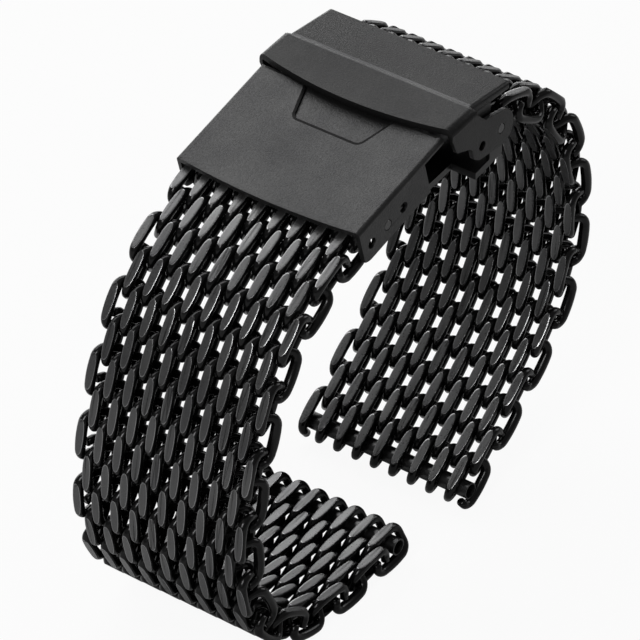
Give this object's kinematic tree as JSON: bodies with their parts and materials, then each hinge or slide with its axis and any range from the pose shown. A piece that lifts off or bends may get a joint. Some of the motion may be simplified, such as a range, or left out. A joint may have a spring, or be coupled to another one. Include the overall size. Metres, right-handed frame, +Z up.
{
  "type": "shark mesh bracelet",
  "caption": "Shark mesh watch bracelet: linked flattened wire coils in two straps, a fold-over clasp with safety flap, and end tubes for spring bars.",
  "frame": {"origin": "middle of the box around the part, at the floor it stands on", "axes": "+X from the front strap to the rear strap, +Y along the hinge pins, +Z up to the clasp"},
  "size_m": [0.061, 0.0246, 0.0529],
  "materials": {
    "mesh_wire": "gloss black coated wire with ground flats",
    "clasp_sheet": "satin black coated steel",
    "blade_steel": "satin dark steel",
    "pin_steel": "polished steel"
  },
  "bodies": {
    "end_block": {"end_blade": "blade_steel", "rear_plate": "clasp_sheet", "blade_hinge_pin": "pin_steel", "rear_bar_barrel": "pin_steel", "rear_bar_tip_left": "pin_steel", "rear_bar_tip_right": "pin_steel"},
    "middle_blade": {"middle_blade": "blade_steel", "cover_hinge_pin": "pin_steel"},
    "cover": {"cover": "clasp_sheet", "front_bar_barrel": "pin_steel", "front_bar_tip_left": "pin_steel", "front_bar_tip_right": "pin_steel"},
    "safety_flap": {"safety_flap": "clasp_sheet"},
    "front_row_00": {"front_row_00": "mesh_wire"},
    "front_row_01": {"front_row_01": "mesh_wire"},
    "front_row_02": {"front_row_02": "mesh_wire"},
    "front_row_03": {"front_row_03": "mesh_wire"},
    "front_row_04": {"front_row_04": "mesh_wire"},
    "front_row_05": {"front_row_05": "mesh_wire"},
    "front_row_06": {"front_row_06": "mesh_wire"},
    "front_row_07": {"front_row_07": "mesh_wire"},
    "front_row_08": {"front_row_08": "mesh_wire"},
    "front_row_09": {"front_row_09": "mesh_wire"},
    "front_row_10": {"front_row_10": "mesh_wire"},
    "front_row_11": {"front_row_11": "mesh_wire"},
    "front_row_12": {"front_row_12": "mesh_wire"},
    "front_row_13": {"front_row_13": "mesh_wire"},
    "front_row_14": {"front_row_14": "mesh_wire"},
    "front_row_15": {"front_row_15": "mesh_wire"},
    "front_row_16": {"front_row_16": "mesh_wire"},
    "front_row_17": {"front_row_17": "mesh_wire"},
    "front_row_18": {"front_row_18": "mesh_wire"},
    "front_row_19": {"front_row_19": "mesh_wire"},
    "front_row_20": {"front_row_20": "mesh_wire", "front_end_tube": "blade_steel"},
    "rear_row_00": {"rear_row_00": "mesh_wire"},
    "rear_row_01": {"rear_row_01": "mesh_wire"},
    "rear_row_02": {"rear_row_02": "mesh_wire"},
    "rear_row_03": {"rear_row_03": "mesh_wire"},
    "rear_row_04": {"rear_row_04": "mesh_wire"},
    "rear_row_05": {"rear_row_05": "mesh_wire"},
    "rear_row_06": {"rear_row_06": "mesh_wire"},
    "rear_row_07": {"rear_row_07": "mesh_wire"},
    "rear_row_08": {"rear_row_08": "mesh_wire"},
    "rear_row_09": {"rear_row_09": "mesh_wire"},
    "rear_row_10": {"rear_row_10": "mesh_wire"},
    "rear_row_11": {"rear_row_11": "mesh_wire"},
    "rear_row_12": {"rear_row_12": "mesh_wire"},
    "rear_row_13": {"rear_row_13": "mesh_wire"},
    "rear_row_14": {"rear_row_14": "mesh_wire"},
    "rear_row_15": {"rear_row_15": "mesh_wire"},
    "rear_row_16": {"rear_row_16": "mesh_wire"},
    "rear_row_17": {"rear_row_17": "mesh_wire", "rear_end_tube": "blade_steel"}
  },
  "joints": [
    {"name": "blade_hinge", "type": "hinge", "parent": "end_block", "child": "middle_blade", "pos_m": [-0.00371, 0, 0.04302], "axis": [0, -1, 0], "range_deg": [0, 130]},
    {"name": "cover_hinge", "type": "hinge", "parent": "middle_blade", "child": "cover", "pos_m": [0.00199, 0, 0.04852], "axis": [0, 1, 0], "range_deg": [0, 131]},
    {"name": "flap_hinge", "type": "hinge", "parent": "end_block", "child": "safety_flap", "pos_m": [0.01149, 0, 0.04822], "axis": [0, 1, 0], "range_deg": [0, 86]},
    {"name": "front_hinge_00", "type": "hinge", "parent": "cover", "child": "front_row_00", "pos_m": [-0.00691, 0, 0.04602], "axis": [0, 1, 0], "range_deg": [-0.24, 2.2]},
    {"name": "front_hinge_01", "type": "hinge", "parent": "front_row_00", "child": "front_row_01", "pos_m": [-0.0097, 0, 0.045], "axis": [0, 1, 0], "range_deg": [-0.24, 2.2]},
    {"name": "front_hinge_02", "type": "hinge", "parent": "front_row_01", "child": "front_row_02", "pos_m": [-0.01302, 0, 0.04366], "axis": [0, 1, 0], "range_deg": [-0.29, 4.2]},
    {"name": "front_hinge_03", "type": "hinge", "parent": "front_row_02", "child": "front_row_03", "pos_m": [-0.01624, 0, 0.04209], "axis": [0, 1, 0], "range_deg": [-0.38, 8.2]},
    {"name": "front_hinge_04", "type": "hinge", "parent": "front_row_03", "child": "front_row_04", "pos_m": [-0.01921, 0, 0.04009], "axis": [0, 1, 0], "range_deg": [-0.44, 11.2]},
    {"name": "front_hinge_05", "type": "hinge", "parent": "front_row_04", "child": "front_row_05", "pos_m": [-0.02174, 0, 0.03756], "axis": [0, 1, 0], "range_deg": [-0.47, 12.2]},
    {"name": "front_hinge_06", "type": "hinge", "parent": "front_row_05", "child": "front_row_06", "pos_m": [-0.02369, 0, 0.03456], "axis": [0, 1, 0], "range_deg": [-0.38, 8.2]},
    {"name": "front_hinge_07", "type": "hinge", "parent": "front_row_06", "child": "front_row_07", "pos_m": [-0.0252, 0, 0.03131], "axis": [0, 1, 0], "range_deg": [-0.31, 5.2]},
    {"name": "front_hinge_08", "type": "hinge", "parent": "front_row_07", "child": "front_row_08", "pos_m": [-0.02643, 0, 0.02795], "axis": [0, 1, 0], "range_deg": [-0.29, 4.2]},
    {"name": "front_hinge_09", "type": "hinge", "parent": "front_row_08", "child": "front_row_09", "pos_m": [-0.02741, 0, 0.02451], "axis": [0, 1, 0], "range_deg": [-0.29, 4.2]},
    {"name": "front_hinge_10", "type": "hinge", "parent": "front_row_09", "child": "front_row_10", "pos_m": [-0.02816, 0, 0.021], "axis": [0, 1, 0], "range_deg": [-0.33, 6.2]},
    {"name": "front_hinge_11", "type": "hinge", "parent": "front_row_10", "child": "front_row_11", "pos_m": [-0.02853, 0, 0.01744], "axis": [0, 1, 0], "range_deg": [-0.38, 8.2]},
    {"name": "front_hinge_12", "type": "hinge", "parent": "front_row_11", "child": "front_row_12", "pos_m": [-0.02841, 0, 0.01387], "axis": [0, 1, 0], "range_deg": [-0.44, 11.2]},
    {"name": "front_hinge_13", "type": "hinge", "parent": "front_row_12", "child": "front_row_13", "pos_m": [-0.0276, 0, 0.01038], "axis": [0, 1, 0], "range_deg": [-0.51, 14.2]},
    {"name": "front_hinge_14", "type": "hinge", "parent": "front_row_13", "child": "front_row_14", "pos_m": [-0.02598, 0, 0.00719], "axis": [0, 1, 0], "range_deg": [-0.58, 17.2]},
    {"name": "front_hinge_15", "type": "hinge", "parent": "front_row_14", "child": "front_row_15", "pos_m": [-0.02349, 0, 0.00461], "axis": [0, 1, 0], "range_deg": [-0.4, 18]},
    {"name": "front_hinge_16", "type": "hinge", "parent": "front_row_15", "child": "front_row_16", "pos_m": [-0.02033, 0, 0.00293], "axis": [0, 1, 0], "range_deg": [-0.53, 15.2]},
    {"name": "front_hinge_17", "type": "hinge", "parent": "front_row_16", "child": "front_row_17", "pos_m": [-0.01684, 0, 0.00213], "axis": [0, 1, 0], "range_deg": [-0.42, 10.2]},
    {"name": "front_hinge_18", "type": "hinge", "parent": "front_row_17", "child": "front_row_18", "pos_m": [-0.01327, 0, 0.00194], "axis": [0, 1, 0], "range_deg": [-0.31, 5.2]},
    {"name": "front_hinge_19", "type": "hinge", "parent": "front_row_18", "child": "front_row_19", "pos_m": [-0.00969, 0, 0.00206], "axis": [0, 1, 0], "range_deg": [-0.27, 3.2]},
    {"name": "front_hinge_20", "type": "hinge", "parent": "front_row_19", "child": "front_row_20", "pos_m": [-0.00612, 0, 0.00238], "axis": [0, 1, 0], "range_deg": [-0.24, 2.2]},
    {"name": "rear_hinge_00", "type": "hinge", "parent": "end_block", "child": "rear_row_00", "pos_m": [0.01149, 0, 0.04822], "axis": [0, -1, 0], "range_deg": [-0.29, 3.2]},
    {"name": "rear_hinge_01", "type": "hinge", "parent": "rear_row_00", "child": "rear_row_01", "pos_m": [0.01445, 0, 0.04801], "axis": [0, -1, 0], "range_deg": [-0.51, 11.2]},
    {"name": "rear_hinge_02", "type": "hinge", "parent": "rear_row_01", "child": "rear_row_02", "pos_m": [0.01791, 0, 0.04709], "axis": [0, -1, 0], "range_deg": [-0.4, 14]},
    {"name": "rear_hinge_03", "type": "hinge", "parent": "rear_row_02", "child": "rear_row_03", "pos_m": [0.02104, 0, 0.04535], "axis": [0, -1, 0], "range_deg": [-0.6, 14.2]},
    {"name": "rear_hinge_04", "type": "hinge", "parent": "rear_row_03", "child": "rear_row_04", "pos_m": [0.02366, 0, 0.04291], "axis": [0, -1, 0], "range_deg": [-0.54, 12.2]},
    {"name": "rear_hinge_05", "type": "hinge", "parent": "rear_row_04", "child": "rear_row_05", "pos_m": [0.02571, 0, 0.03997], "axis": [0, -1, 0], "range_deg": [-0.51, 11.2]},
    {"name": "rear_hinge_06", "type": "hinge", "parent": "rear_row_05", "child": "rear_row_06", "pos_m": [0.02717, 0, 0.03671], "axis": [0, -1, 0], "range_deg": [-0.46, 9.2]},
    {"name": "rear_hinge_07", "type": "hinge", "parent": "rear_row_06", "child": "rear_row_07", "pos_m": [0.02809, 0, 0.03325], "axis": [0, -1, 0], "range_deg": [-0.43, 8.2]},
    {"name": "rear_hinge_08", "type": "hinge", "parent": "rear_row_07", "child": "rear_row_08", "pos_m": [0.02853, 0, 0.02969], "axis": [0, -1, 0], "range_deg": [-0.43, 8.2]},
    {"name": "rear_hinge_09", "type": "hinge", "parent": "rear_row_08", "child": "rear_row_09", "pos_m": [0.02847, 0, 0.02611], "axis": [0, -1, 0], "range_deg": [-0.46, 9.2]},
    {"name": "rear_hinge_10", "type": "hinge", "parent": "rear_row_09", "child": "rear_row_10", "pos_m": [0.02785, 0, 0.02259], "axis": [0, -1, 0], "range_deg": [-0.49, 10.2]},
    {"name": "rear_hinge_11", "type": "hinge", "parent": "rear_row_10", "child": "rear_row_11", "pos_m": [0.02662, 0, 0.01922], "axis": [0, -1, 0], "range_deg": [-0.49, 10.2]},
    {"name": "rear_hinge_12", "type": "hinge", "parent": "rear_row_11", "child": "rear_row_12", "pos_m": [0.02483, 0, 0.01612], "axis": [0, -1, 0], "range_deg": [-0.49, 10.2]},
    {"name": "rear_hinge_13", "type": "hinge", "parent": "rear_row_12", "child": "rear_row_13", "pos_m": [0.02253, 0, 0.01338], "axis": [0, -1, 0], "range_deg": [-0.37, 6.2]},
    {"name": "rear_hinge_14", "type": "hinge", "parent": "rear_row_13", "child": "rear_row_14", "pos_m": [0.01995, 0, 0.0109], "axis": [0, -1, 0], "range_deg": [-0.29, 3.2]},
    {"name": "rear_hinge_15", "type": "hinge", "parent": "rear_row_14", "child": "rear_row_15", "pos_m": [0.01725, 0, 0.00855], "axis": [0, -1, 0], "range_deg": [-0.26, 2.2]},
    {"name": "rear_hinge_16", "type": "hinge", "parent": "rear_row_15", "child": "rear_row_16", "pos_m": [0.01447, 0, 0.00629], "axis": [0, -1, 0], "range_deg": [-0.23, 1.2]},
    {"name": "rear_hinge_17", "type": "hinge", "parent": "rear_row_16", "child": "rear_row_17", "pos_m": [0.01165, 0, 0.00409], "axis": [0, -1, 0], "range_deg": [-1.2, 0.23]}
  ],
  "couplings": [
    {"joint": "cover_hinge", "follows": "blade_hinge", "ratio": 1},
    {"joint": "flap_hinge", "follows": "blade_hinge", "ratio": 0.6538}
  ]
}
